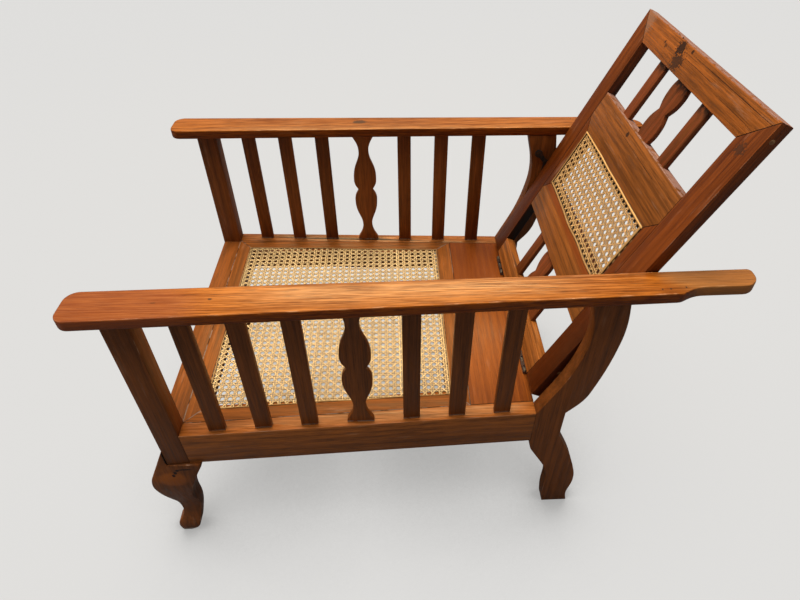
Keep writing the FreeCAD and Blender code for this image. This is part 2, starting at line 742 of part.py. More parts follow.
def hook():
    """Flat iron hook on the inner face of the rear leg, with a cradle that is open along the back's slope."""
    eye = place_side(-hook_eye_forward, hook_eye_rise)
    bend = place_side(-hook_bend_forward, hook_bend_rise)
    throat = place_side(-hook_throat_forward, hook_throat_rise)
    inner = rod_radius + hook_cradle_clearance
    outer = inner + hook_cradle_wall
    ring_foot = place_side(-inner - hook_cradle_wall * half, 0.0)
    pieces = [flat_bar(eye, bend, hook_bar_width), flat_bar(bend, throat, hook_bar_width),
              flat_bar(throat, ring_foot, hook_cradle_wall), Part.makeCylinder(hook_eye_radius, hook_thickness, eye, across)]
    shape = cradle_shape(outer).fuse(pieces)
    slot = block(0.0, hook_thickness, -inner, inner, 0.0, hook_bend_rise).rotated(origin, across, -back_tilt_degrees)
    shape = shape.cut([cradle_shape(inner), slot]).removeSplitter()
    return shape.translated(rod_centre() + across * (rear_half_width - rear_leg_thickness - hook_thickness))


def sloped_back(shape):
    """Turns a piece so that all four feet stand level."""
    return shape.rotated(place_side(front_foot_place, 0.0), across, -seat_slope_degrees)


parts["front_rail"] = front_rail()
seat_supports()
side_frames()
cane_inner, cane_ledge_corners = seat_frame()
parts["seat_cane"] = seat_cane(cane_inner, cane_ledge_corners)
back_frame()
hinges()
both("rod_hook", hook())
parts["rest_rod"] = rest_rod()

sloped = {name: sloped_back(shape) for name, shape in parts.items()}
reach = Part.makeCompound(list(sloped.values())).optimalBoundingBox()
to_middle = along * (-(reach.YMin + reach.YMax) * half)

os.makedirs("parts", exist_ok=True)
for name, shape in sloped.items():
    placed = shape.translated(to_middle)
    placed.exportStep("parts/%s.step" % name)
    print(name, len(placed.Solids), placed.isValid(), round(placed.Volume))

print("reach", reach)
for label, point in (("hinge pin", place_side(hinge_axis_y, hinge_axis_z)), ("rod centre", rod_centre())):
    spot = sloped_back(Part.Vertex(point)).Point + to_middle
    print(label, tuple(spot))
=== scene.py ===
"""Planters chair: the looks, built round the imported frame."""

import math

import bmesh
import bpy
import numpy as np
from bpy.props import FloatProperty, FloatVectorProperty, IntProperty, PointerProperty
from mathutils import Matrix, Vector
from mathutils.bvhtree import BVHTree


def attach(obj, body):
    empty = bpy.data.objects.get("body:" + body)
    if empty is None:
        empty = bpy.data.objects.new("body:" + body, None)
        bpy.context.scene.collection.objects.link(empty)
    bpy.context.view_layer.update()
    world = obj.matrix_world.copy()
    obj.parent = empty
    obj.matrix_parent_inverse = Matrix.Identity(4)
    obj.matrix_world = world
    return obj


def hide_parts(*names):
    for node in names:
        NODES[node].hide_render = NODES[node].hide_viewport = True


bl_info = {
    "name": "Planters Chair",
    "version": (1, 0, 0),
    "blender": (4, 5, 0),
    "location": "View3D > Sidebar > Planters Chair",
    "description": "Builds the wood, cane and ironwork of a planters chair",
    "category": "Object",
}

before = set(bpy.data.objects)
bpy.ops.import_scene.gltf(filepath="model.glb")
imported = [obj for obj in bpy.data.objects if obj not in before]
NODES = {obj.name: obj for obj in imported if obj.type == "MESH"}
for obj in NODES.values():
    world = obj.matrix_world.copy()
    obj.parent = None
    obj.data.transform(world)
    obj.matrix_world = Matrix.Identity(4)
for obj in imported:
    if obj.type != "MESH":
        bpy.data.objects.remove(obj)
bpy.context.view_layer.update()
SEAT_SLOPE = math.radians(2.2)
BACK_TILT = math.radians(24.7 + 2.2)
ALONG = np.array([0.0, math.cos(SEAT_SLOPE), -math.sin(SEAT_SLOPE)])
UPWARD = np.array([0.0, math.sin(SEAT_SLOPE), math.cos(SEAT_SLOPE)])
ACROSS = np.array([1.0, 0.0, 0.0])
UP_BACK = np.array([0.0, math.sin(BACK_TILT), math.cos(BACK_TILT)])
FORWARD = np.cross(ACROSS, UP_BACK)
SIDES = (("left", 1.0), ("right", -1.0))
MM = 0.001
RNG_SEED = 11


# Sizes and colours

COLOUR = {"subtype": "COLOR", "size": 3, "min": 0.0, "max": 1.0}


class WoodSettings(bpy.types.PropertyGroup):
    """Colours and wear of the teak."""
    arm_colour: FloatVectorProperty(name="Arm colour", description="Varnished teak of the arms",
                                    default=(0.53, 0.152, 0.014), **COLOUR)
    frame_colour: FloatVectorProperty(name="Frame colour", description="Teak of rails, posts and seat frame",
                                      default=(0.36, 0.108, 0.020), **COLOUR)
    slat_colour: FloatVectorProperty(name="Slat colour", description="Dark teak of slats and legs",
                                     default=(0.27, 0.076, 0.014), **COLOUR)
    back_colour: FloatVectorProperty(name="Back colour", description="Golden teak of the back's rails",
                                     default=(0.42, 0.125, 0.021), **COLOUR)
    edge_round: FloatProperty(name="Edge rounding", description="How far the arrises are worn round",
                              subtype="DISTANCE", unit="LENGTH", min=0.0, max=0.004, default=0.0013)
    wear: FloatProperty(name="Wear", description="Bare and pale wood along the arrises", subtype="FACTOR",
                        min=0.0, max=1.0, default=0.55)


class CaneSettings(bpy.types.PropertyGroup):
    """The woven cane and its binding."""
    colour: FloatVectorProperty(name="Cane colour", description="Straw colour of the cane",
                                default=(0.82, 0.55, 0.225), **COLOUR)
    seat_pitch: FloatProperty(name="Seat pitch", description="From one hole of the seat's weave to the next",
                              subtype="DISTANCE", unit="LENGTH", min=0.008, max=0.03, default=0.01549)
    back_pitch: FloatProperty(name="Back pitch", description="From one hole of the back's weave to the next",
                              subtype="DISTANCE", unit="LENGTH", min=0.008, max=0.03, default=0.01573)
    strand: FloatProperty(name="Strand width", description="Width of one strand of cane", subtype="DISTANCE",
                          unit="LENGTH", min=0.001, max=0.005, default=0.0028)
    samples: IntProperty(name="Steps", description="Steps along a strand for each hole of the weave", min=4, max=12,
                         default=6)


class StageSettings(bpy.types.PropertyGroup):
    """Floor, lights and camera."""
    floor_colour: FloatVectorProperty(name="Floor colour", description="Pale floor",
                                      default=(0.753, 0.745, 0.730), **COLOUR)
    lens: FloatProperty(name="Lens", description="Focal length of the camera", subtype="DISTANCE_CAMERA",
                        min=10.0, max=200.0, default=26.0146)
    overhead: FloatProperty(name="Overhead light", description="Strength of the soft light from above", min=0.0,
                            max=20.0, default=3.6)
    arm_light: FloatProperty(name="Arm light", description="Power of the softbox that shines on the near arm",
                             unit="POWER", min=0.0, max=500.0, default=48.0)
    front_fill: FloatProperty(name="Front fill", description="Strength of the soft light from the front", min=0.0,
                              max=20.0, default=0.65)


# Shader groups and materials

WORN_PALE = (0.50, 0.27, 0.16)
JOINT_DARK = (0.012, 0.006, 0.004)
GROUPS = {}


def lighter(colour, factor):
    """A colour made lighter or darker."""
    return tuple(float(min(1.0, c * f)) for c, f in zip(colour, np.broadcast_to(factor, 3)))


class Wiring:
    """Short words for adding nodes to one node tree and linking them."""

    def __init__(self, tree):
        self.tree = tree

    def put(self, socket, value):
        """Links a socket, or sets its value; a colour of three values keeps the socket's alpha."""
        if isinstance(value, bpy.types.NodeSocket):
            self.tree.links.new(value, socket)
        elif hasattr(socket.default_value, "__len__") and not isinstance(value, (int, float)):
            filled = list(socket.default_value)
            filled[:len(value)] = value
            socket.default_value = filled
        else:
            socket.default_value = value

    def fill(self, sockets, **values):
        """Puts values in sockets given by name, with underscores for spaces."""
        for label, value in values.items():
            self.put(sockets[label.replace("_", " ")], value)

    def node(self, kind, **values):
        """A node with its input sockets filled."""
        made = self.tree.nodes.new(kind)
        self.fill(made.inputs, **values)
        return made

    def group(self, name, **values):
        """The outputs of a shader group placed in a material."""
        if not GROUPS:
            GROUPS.update(teak_grain=teak_grain_group(), arris_wear=arris_wear_group(), oval_spot=spot_group())
        made = self.tree.nodes.new("ShaderNodeGroup")
        made.node_tree = GROUPS[name]
        self.fill(made.inputs, **values)
        return made.outputs

    def math(self, operation, a, b, clamp=False):
        """One sum of two values."""
        made = self.tree.nodes.new("ShaderNodeMath")
        made.operation = operation
        made.use_clamp = clamp
        self.put(made.inputs[0], a)
        self.put(made.inputs[1], b)
        return made.outputs[0]

    def times(self, a, b, clamp=False):
        return self.math("MULTIPLY", a, b, clamp)

    def plus(self, a, b, clamp=False):
        return self.math("ADD", a, b, clamp)

    def minus(self, a, b, clamp=False):
        return self.math("SUBTRACT", a, b, clamp)

    def vector(self, operation, a, b=(0.0, 0.0, 0.0)):
        """The outputs of one sum of two vectors."""
        made = self.tree.nodes.new("ShaderNodeVectorMath")
        made.operation = operation
        self.put(made.inputs[0], a)
        self.put(made.inputs[1], b)
        return made.outputs

    def attribute(self, name, output="Fac"):
        """What a piece's own attribute holds."""
        made = self.tree.nodes.new("ShaderNodeAttribute")
        made.attribute_name = name
        return made.outputs[output]

    def stretched(self, place, scale, shift=(0.0, 0.0, 0.0)):
        """A place multiplied along its three axes."""
        return self.node("ShaderNodeMapping", Vector=place, Scale=scale, Location=shift).outputs[0]

    def noise(self, place, scale, detail, roughness, distortion=0.0, shift=(0.0, 0.0, 0.0)):
        """Noise over a place multiplied along its three axes, or along all alike."""
        place = self.stretched(place, np.broadcast_to(scale, 3).tolist(), shift)
        return self.node("ShaderNodeTexNoise", Vector=place, Scale=1.0, Detail=detail, Roughness=roughness,
                         Distortion=distortion).outputs[0]

    def ramp(self, value, low, high):
        """Smooth step from 0 at low to 1 at high."""
        made = self.node("ShaderNodeMapRange", Value=value, From_Min=low, From_Max=high)
        made.interpolation_type = "SMOOTHSTEP"
        return made.outputs[0]

    def mix(self, factor, a, b, blend="MIX"):
        """Two colours mixed."""
        made = self.tree.nodes.new("ShaderNodeMix")
        made.data_type = "RGBA"
        made.blend_type = blend
        self.put(made.inputs["Factor"], factor)
        self.put(made.inputs[6], a)
        self.put(made.inputs[7], b)
        return made.outputs[2]

    def tinted(self, a, b):
        """Two colours multiplied."""
        return self.mix(1.0, a, b, "MULTIPLY")

    def grey(self, value):
        """A value as a colour."""
        return self.node("ShaderNodeCombineColor", Red=value, Green=value, Blue=value).outputs[0]

    def bump(self, height, strength, distance):
        """A normal with a relief on it."""
        return self.node("ShaderNodeBump", Height=height, Strength=strength, Distance=distance).outputs[0]


def new_group(name, inputs, outputs):
    """An empty shader group with named sockets: its tree, its wiring, what it is given and what it puts out."""
    group = bpy.data.node_groups.new(name, "ShaderNodeTree")
    for label, kind, value in inputs:
        socket = group.interface.new_socket(name=label, in_out="INPUT", socket_type="NodeSocket" + kind)
        if value is not None:
            socket.default_value = value
    for label, kind in outputs:
        group.interface.new_socket(name=label, in_out="OUTPUT", socket_type="NodeSocket" + kind)
    return group, Wiring(group), group.nodes.new("NodeGroupInput").outputs, group.nodes.new("NodeGroupOutput").inputs


def teak_grain_group():
    """Teak: broad and fine streaks, curved year rings, fibres and short dark pores along the first axis of Place.

    The tone that mixes Dark and Light is 1/2 plus (pattern - 1/2) * weight for each pattern.
    """
    group, w, given, result = new_group(
        "teak_grain",
        [("Place", "Vector", None), ("Light", "Color", (0.5, 0.2, 0.05, 1.0)),
         ("Dark", "Color", (0.2, 0.06, 0.01, 1.0)), ("Streaks", "Float", 1.0), ("Rings", "Float", 0.5),
         ("Fibres", "Float", 0.5), ("Pores", "Float", 0.4)],
        [("Color", "Color"), ("Height", "Float"), ("Fibre", "Float")])
    place = given["Place"]
    broad = w.noise(place, (2.0, 48.0, 36.0), 5.0, 0.6, 0.6)
    fine = w.noise(place, (4.5, 240.0, 180.0), 4.0, 0.65, 0.3)
    fibres = w.noise(place, (14.0, 520.0, 380.0), 3.0, 0.65)
    pores = w.ramp(w.noise(place, (30.0, 620.0, 620.0), 2.0, 0.5), 0.56, 0.68)
    cloud = w.noise(place, (3.0, 7.0, 7.0), 2.0, 0.5)
    rings = w.node("ShaderNodeTexWave", Vector=w.stretched(place, (0.9, 17.0, 11.0)), Scale=1.0, Distortion=7.0,
                   Detail=3.0, Detail_Scale=0.9)
    rings.bands_direction = "Y"
    tone = 0.0
    for pattern, weight in ((broad, w.times(given["Streaks"], 1.5)), (fine, w.times(given["Streaks"], 2.4)),
                            (rings.outputs["Fac"], given["Rings"]), (fibres, w.times(given["Fibres"], 3.4)),
                            (cloud, 0.9)):
        tone = w.plus(tone, w.times(w.minus(pattern, 0.5), weight))
    colour = w.mix(w.plus(tone, 0.5, clamp=True), given["Dark"], given["Light"])
    pore_depth = w.times(pores, given["Pores"])
    w.fill(result, Color=w.mix(w.times(pore_depth, 0.75), colour, (0.03, 0.010, 0.004)),
           Height=w.minus(w.times(fibres, 0.8), pore_depth), Fibre=fibres)
    return group


def arris_wear_group():
    """Wear: the arris mask broken up by noise along the grain, and faint scuffs on the faces, in a bare colour."""
    group, w, given, result = new_group(
        "arris_wear",
        [("Color", "Color", (0.3, 0.1, 0.02, 1.0)), ("Bare", "Color", (0.6, 0.35, 0.2, 1.0)), ("Arris", "Float", 0.0),
         ("Place", "Vector", None), ("Amount", "Float", 0.5)],
        [("Color", "Color"), ("Mask", "Float")])
    place, amount = given["Place"], given["Amount"]
    broken = w.ramp(w.noise(place, (22.0, 60.0, 60.0), 4.0, 0.6), w.minus(0.72, w.times(amount, 0.4)), 0.74)
    worn = w.times(w.ramp(given["Arris"], 0.15, 0.8), broken, clamp=True)
    scuffs = w.ramp(w.noise(place, (9.0, 70.0, 70.0), 5.0, 0.65, shift=(5.0, 2.0, 1.0)), 0.58, 0.78)
    mask = w.math("MAXIMUM", worn, w.times(scuffs, w.times(amount, 0.55)))
    w.fill(result, Color=w.mix(mask, given["Color"], given["Bare"]), Mask=mask)
    return group


def spot_group():
    """A soft oval spot: 1 inside, 0 outside an uneven edge at Size from Centre."""
    group, w, given, result = new_group(
        "oval_spot",
        [("Place", "Vector", None), ("Centre", "Vector", None), ("Size", "Vector", None), ("Uneven", "Float", 0.4)],
        [("Mask", "Float")])
    share = w.vector("DIVIDE", w.vector("SUBTRACT", given["Place"], given["Centre"])[0], given["Size"])[0]
    ragged = w.times(w.minus(w.noise(given["Place"], 260.0, 3.0, 0.6), 0.5), w.times(given["Uneven"], 3.0))
    length = w.plus(w.vector("LENGTH", share)["Value"], ragged)
    w.fill(result, Mask=w.minus(1.0, w.ramp(length, 0.75, 1.15)))
    return group


def new_material(name):
    """An empty material with its wiring and the inputs of its shader."""
    material = bpy.data.materials.new(name)
    material.use_nodes = True
    return material, Wiring(material.node_tree), material.node_tree.nodes["Principled BSDF"].inputs


def wood(name, light, dark, wear, bare=WORN_PALE, streaks=0.8, rings=0.3, fibres=0.6, pores=0.4, rough=(0.30, 0.52),
         coat=0.05, shine=0.18, spots=(), bands=(), flank_shade=None, seam=JOINT_DARK):
    """Varnished teak.

    A spot is its centre and size on Object coordinates, its colour, strength and unevenness. A band is a
    direction, the two levels along it between which the band comes in, its colour and its strength. With a
    flank shade factor, the faces that don't look up are darkened by it as painted shade and carry no coat. A seam
    is what fills the joints.
    """
    material, w, inputs = new_material(name)
    place = w.attribute("grain", "Vector")
    grain = w.group("teak_grain", Place=place, Light=light, Dark=dark, Streaks=streaks, Rings=rings, Fibres=fibres,
                    Pores=pores)
    worn = w.group("arris_wear", Color=w.tinted(grain["Color"], w.grey(w.attribute("tone"))), Bare=bare,
                   Arris=w.attribute("arris"), Place=place, Amount=wear)
    colour = worn["Color"]
    seen = w.node("ShaderNodeTexCoord").outputs
    where = seen["Object"]
    gloss = coat
    spread = w.ramp(grain["Fibre"], 0.38, 0.62)
    # Faces that don't look up are darkened here: painted shade.
    if flank_shade is not None:
        level = w.ramp(w.node("ShaderNodeSeparateXYZ", Vector=seen["Normal"]).outputs["Z"], 0.45, 0.85)
        colour = w.mix(level, w.tinted(colour, flank_shade), colour)
        gloss = w.times(w.times(level, coat), w.plus(0.35, w.times(spread, 1.1)))
    for direction, low, high, tone, strength in bands:
        height = w.vector("DOT_PRODUCT", where, direction)["Value"]
        ragged = w.ramp(w.noise(where, 90.0, 4.0, 0.6), 0.36, 0.54)
        colour = w.mix(w.times(w.ramp(height, low, high), w.times(ragged, strength)), colour, tone)
    for centre, size, tone, strength, uneven in spots:
        spot = w.group("oval_spot", Place=where, Centre=centre, Size=size, Uneven=uneven)
        colour = w.mix(w.times(spot["Mask"], strength), colour, tone)
    filled = w.ramp(w.noise(where, 35.0, 3.0, 0.6), 0.42, 0.56)
    colour = w.mix(w.attribute("joint"), colour, w.mix(filled, JOINT_DARK, seam))
    roughness = w.plus(rough[0], w.times(spread, rough[1] - rough[0]))
    roughness = w.plus(roughness, w.times(worn["Mask"], 0.2), clamp=True)
    inputs["Coat Roughness"].default_value = 0.30
    inputs["Specular IOR Level"].default_value = shine
    w.fill(inputs, Base_Color=colour, Roughness=roughness, Coat_Weight=gloss,
           Normal=w.bump(grain["Height"], 0.4, 0.5 * MM))
    return material


def cane_material(name, colour, gloss=0.42):
    """Split cane: straw skin with fine lines along the strand, darker rings at its joints and painted shade along its
    edges.
    """
    material, w, inputs = new_material(name)
    place = w.attribute("grain", "Vector")
    lines = w.noise(place, (14.0, 1400.0, 900.0), 2.0, 0.5)
    blotch = w.noise(place, (36.0, 90.0, 90.0), 3.0, 0.6)
    joints = w.ramp(w.noise(place, (26.0, 0.0, 0.0), 1.0, 0.5), 0.70, 0.76)
    shade = w.mix(w.plus(w.times(lines, 0.5), w.times(blotch, 0.5)), lighter(colour, (0.62, 0.50, 0.36)),
                  lighter(colour, (1.18, 1.25, 1.5)))
    shade = w.tinted(shade, w.grey(w.attribute("tone")))
    shade = w.mix(w.times(joints, 0.6), shade, (0.16, 0.07, 0.02))
    # Painted shade along each strand's edges.
    shade = w.mix(w.times(w.ramp(w.attribute("arris"), 0.55, 0.76), 0.96), shade, (0.075, 0.030, 0.009))
    w.fill(inputs, Base_Color=shade, Roughness=w.plus(gloss, w.times(lines, 0.15)),
           Normal=w.bump(lines, 0.3, 0.2 * MM))
    return material


def iron_material(name, colour, rust, rough, metallic=1.0):
    """Old iron: scuffed dark metal with rusty patches on Object coordinates."""
    material, w, inputs = new_material(name)
    where = w.node("ShaderNodeTexCoord").outputs["Object"]
    patches = w.ramp(w.noise(where, 120.0, 5.0, 0.65), 0.45, 0.65)
    scuffs = w.noise(where, (700.0, 260.0, 700.0), 3.0, 0.6)
    w.fill(inputs, Base_Color=w.mix(patches, colour, rust),
           Metallic=w.minus(metallic, w.times(patches, 0.7), clamp=True),
           Roughness=w.plus(rough, w.times(scuffs, 0.3), clamp=True), Normal=w.bump(scuffs, 0.35, 0.3 * MM))
    return material


# Surfaces

def store(mesh, name, values, kind="FLOAT"):
    """A whole array of values kept as an attribute of the mesh's points."""
    layer = mesh.attributes.new(name, kind, "POINT")
    layer.data.foreach_set("vector" if kind == "FLOAT_VECTOR" else "value", np.asarray(values, float).ravel())


def column(items, name):
    """One whole number of each of a mesh's items as an array."""
    values = np.empty(len(items), int)
    items.foreach_get(name, values)
    return values


def points_of(mesh):
    """The mesh's points as an array."""
    flat = np.empty(len(mesh.vertices) * 3)
    mesh.vertices.foreach_get("co", flat)
    return flat.reshape(-1, 3)


def node_points(name):
    """The points of one of the frame's nodes."""
    return points_of(NODES[name].data)


def new_mesh(name, points, faces, material):
    """A mesh with a material, from lists of points and faces."""
    mesh = bpy.data.meshes.new(name)
    mesh.from_pydata(points, [], faces)
    mesh.materials.append(material)
    return mesh


def placed(name, mesh, body, stands_for=None):
    """A new object at the origin that rides on a body, in place of a node or beside it."""
    piece = bpy.data.objects.new(name, mesh)
    bpy.context.scene.collection.objects.link(piece)
    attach(piece, body)
    if stands_for:
        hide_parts(stands_for)
    return piece


def ring_faces(steps, sides, first):
    """Quads between neighbouring rings of a swept profile, whose points start at number first."""
    row = np.arange(steps - 1)[:, None] * sides
    side = np.arange(sides)[None, :]
    after = (side + 1) % sides
    quads = np.stack([row + side, row + after, row + sides + after, row + sides + side], axis=-1)
    return quads.reshape(-1, 4) + first


def closed(mesh):
    """Fills what is open in a mesh and points every face outwards."""
    made = bmesh.new()
    made.from_mesh(mesh)
    bmesh.ops.holes_fill(made, edges=[edge for edge in made.edges if edge.is_boundary], sides=0)
    bmesh.ops.recalc_face_normals(made, faces=made.faces)
    made.to_mesh(mesh)
    made.free()


# Wooden pieces: eased copies of the frame's nodes

def nearby(names):
    """Search trees over the surfaces of some nodes."""
    trees = []
    for name in names:
        made = bmesh.new()
        made.from_mesh(NODES[name].data)
        trees.append(BVHTree.FromBMesh(made))
        made.free()
    return trees


def touching(points, names, within):
    """Which points lie on a face of the named nodes: 1.0 or 0.0 for each.

    For a triangle with corners v0 v1 v2 and unit normal n, a point p touches it when |(p - v0) . n| < d and, for
    each side e, (p - vi) . (n x e) / |e| > -d.
    """
    smallest = 1e-12
    found = np.zeros(len(points), bool)
    low, high = points.min(axis=0) - within, points.max(axis=0) + within
    for name in names:
        mesh = NODES[name].data
        others = points_of(mesh)
        if np.any(others.min(axis=0) > high) or np.any(others.max(axis=0) < low):
            continue
        mesh.calc_loop_triangles()
        index = np.empty(len(mesh.loop_triangles) * 3, int)
        mesh.loop_triangles.foreach_get("vertices", index)
        corners = others[index.reshape(-1, 3)]
        corners = corners[((corners.min(axis=1) < high) & (corners.max(axis=1) > low)).all(axis=1)]
        normal = np.cross(corners[:, 1] - corners[:, 0], corners[:, 2] - corners[:, 0])
        size = np.linalg.norm(normal, axis=1)
        kept = size > smallest
        corners, normal = corners[kept], normal[kept] / size[kept][:, None]
        close = np.abs(points @ normal.T - (corners[:, 0] * normal).sum(axis=1)) < within
        for k in range(3):
            inward = np.cross(normal, corners[:, (k + 1) % 3] - corners[:, k])
            inward /= np.linalg.norm(inward, axis=1)[:, None]
            close &= points @ inward.T - (corners[:, k] * inward).sum(axis=1) > -within
        found |= close.any(axis=1)
    return found.astype(float)


def eased_copy(node, along, across, material, slot, share=1.0, tone=None, tight=(), seed=0):
    """A copy of a node whose arrises are rounded by a share of the setting, except where a tight node touches.

    Its attributes are the grain's place, the arris mask, the tone and the joint mask. For a point p, the grain's
    direction a and a direction b across it, grain = (p . a, p . b, p . (a x b)) + shift.
    """
    weld, flat_turn, sharpest, smooth_turn = 0.002 * MM, math.radians(0.6), math.radians(28.0), math.radians(32.0)
    ease = bpy.context.scene.planters_wood.edge_round * share
    made = bmesh.new()
    made.from_mesh(NODES[node].data)
    bmesh.ops.remove_doubles(made, verts=made.verts, dist=weld)
    bmesh.ops.dissolve_limit(made, angle_limit=flat_turn, verts=made.verts, edges=made.edges)
    trees = nearby(tight)
    chosen = []
    for edge in made.edges:
        if len(edge.link_faces) != 2 or not edge.is_convex or edge.calc_face_angle(0.0) < sharpest:
            continue
        middle = (edge.verts[0].co + edge.verts[1].co) / 2
        if not any(tree.find_nearest(middle, 0.4 * MM)[0] is not None for tree in trees):
            chosen.append(edge)
    bmesh.ops.bevel(made, geom=chosen, offset=ease, offset_type="OFFSET", segments=2, profile=0.5, affect="EDGES",
                    clamp_overlap=False, material=1)
    mesh = bpy.data.meshes.new(node + "_eased")
    made.to_mesh(mesh)
    made.free()
    mesh.materials.append(material)
    points = points_of(mesh)
    which = column(mesh.polygons, "material_index")
    corners = column(mesh.loops, "vertex_index")
    sizes = column(mesh.polygons, "loop_total")
    arris = np.ones(len(points))
    arris[corners[np.repeat(which == 0, sizes)]] = 0.0
    mesh.polygons.foreach_set("material_index", np.zeros(len(which), int))
    centre = (points.max(axis=0) + points.min(axis=0)) / 2
    shift = np.random.default_rng(RNG_SEED + seed).uniform(-3.0, 3.0, 3)
    place = np.stack([(points - centre) @ way for way in (along, across, np.cross(along, across))], axis=1)
    owners = np.repeat(np.arange(len(sizes)), sizes)
    middles = np.stack([np.bincount(owners, points[corners, k]) for k in range(3)], axis=1) / sizes[:, None]
    joint = np.ones(len(points))
    np.minimum.at(joint, corners, touching(middles, [name for name in NODES if name != node], ease)[owners])
    store(mesh, "grain", place + shift, "FLOAT_VECTOR")
    store(mesh, "arris", arris)
    store(mesh, "tone", np.full(len(points), tone_of(seed) if tone is None else tone))
    store(mesh, "joint", joint)
    mesh.shade_smooth()
    mesh.set_sharp_from_angle(angle=smooth_turn)
    return placed(node + "_eased", mesh, "back" if node.startswith("back_") else "frame", node)


def tone_of(number):
    """A piece's own tone about 1, the same on every run."""
    return 1.0 + 0.12 * np.random.default_rng(RNG_SEED * 7 + number).uniform(-1.0, 1.0)


def slats_of(side):
    """The slats of the chair's left or right side."""
    return [name for name in NODES if name.startswith(("side_slat", "vase")) and name.endswith(side)]


# Woven cane

def on_plane(plane, x, y, z):
    """Points on a sloping plane: o + x a + y b + z n, for its origin o, a across, b along it and n out of it."""
    origin, along, lift = plane
    return (origin[None, :] + np.multiply.outer(x, ACROSS) + np.multiply.outer(y, along)
            + np.multiply.outer(z, lift))


def cane_place(node, along, lift):
    """A cane's outline about its middle, the plane its strands lie about and the plane of its face."""
    sunk = 0.75 * MM
    points = node_points(node)
    run = points @ along
    middle, half_run = (run.max() + run.min()) / 2, (run.max() - run.min()) / 2
    near, far = (np.abs(points[end, 0]).max() for end in (run < run.min() + MM, run > run.max() - MM))
    face = (points @ lift).max()
    corners = [(-near, -half_run), (near, -half_run), (far, half_run), (-far, half_run)]
    return corners, *((middle * along + level * lift, along, lift) for level in (face - sunk, face))


def strip_piece(name, strips, profile, plane, material, body, stands_for=None):
    """One piece from strips carried along paths, each with its path, its sideways direction and its tone.

    P(s, t) = C(s) + u(t) * S + v(t) * L, where C is the path, S and L its sideways and lifting directions and
    (u, v) the closed profile. The attributes are each point's place along and across its strip, shifted from
    strip to strip, its edge share |u| / max |u| and its tone.
    """
    shift_along, shift_across = 0.731, 0.137
    outline = np.asarray(profile, float)
    sides = len(outline)
    edge = np.abs(outline[:, 0]) / np.abs(outline[:, 0]).max()
    points, faces, places, edges, tones = [], [], [], [], []
    for number, (path, side, tone) in enumerate(strips):
        ring = path[:, None, :] + outline[None, :, :1] * side + outline[None, :, 1:] * plane[2]
        shape = ring.shape[:2]
        run = np.concatenate([[0.0], np.cumsum(np.linalg.norm(np.diff(path, axis=0), axis=1))])
        places.append(np.stack([np.broadcast_to(run[:, None], shape) + number * shift_along,
                                np.broadcast_to(outline[:, 0], shape) + number * shift_across,
                                np.broadcast_to(outline[:, 1], shape)], axis=-1).reshape(-1, 3))
        faces.append(ring_faces(len(path), sides, sum(len(done) for done in points)))
        points.append(ring.reshape(-1, 3))
        edges.append(np.broadcast_to(edge, shape).ravel())
        tones.append(np.repeat(np.broadcast_to(tone, len(path)), sides))
    mesh = new_mesh(name, np.concatenate(points).tolist(), np.concatenate(faces).tolist(), material)
    mesh.shade_smooth()
    mesh.update()
    store(mesh, "grain", np.concatenate(places), "FLOAT_VECTOR")
    store(mesh, "arris", np.concatenate(edges))
    store(mesh, "tone", np.concatenate(tones))
    closed(mesh)
    return placed(name, mesh, body, stands_for)


def cut_line(origin, direction, corners):
    """Where the line o + t d runs inside a convex outline: its first and last t, or nothing."""
    low, high = -1e9, 1e9
    for start, end in zip(corners, np.roll(corners, -1, axis=0)):
        normal = np.array([start[1] - end[1], end[0] - start[0]])
        rate = direction @ normal
        gap = (origin - start) @ normal
        if abs(rate) < 1e-12:
            if gap < 0.0:
                return None
        elif rate > 0.0:
            low = max(low, -gap / rate)
        else:
            high = min(high, -gap / rate)
    return (low, high) if high - low > 1e-6 else None


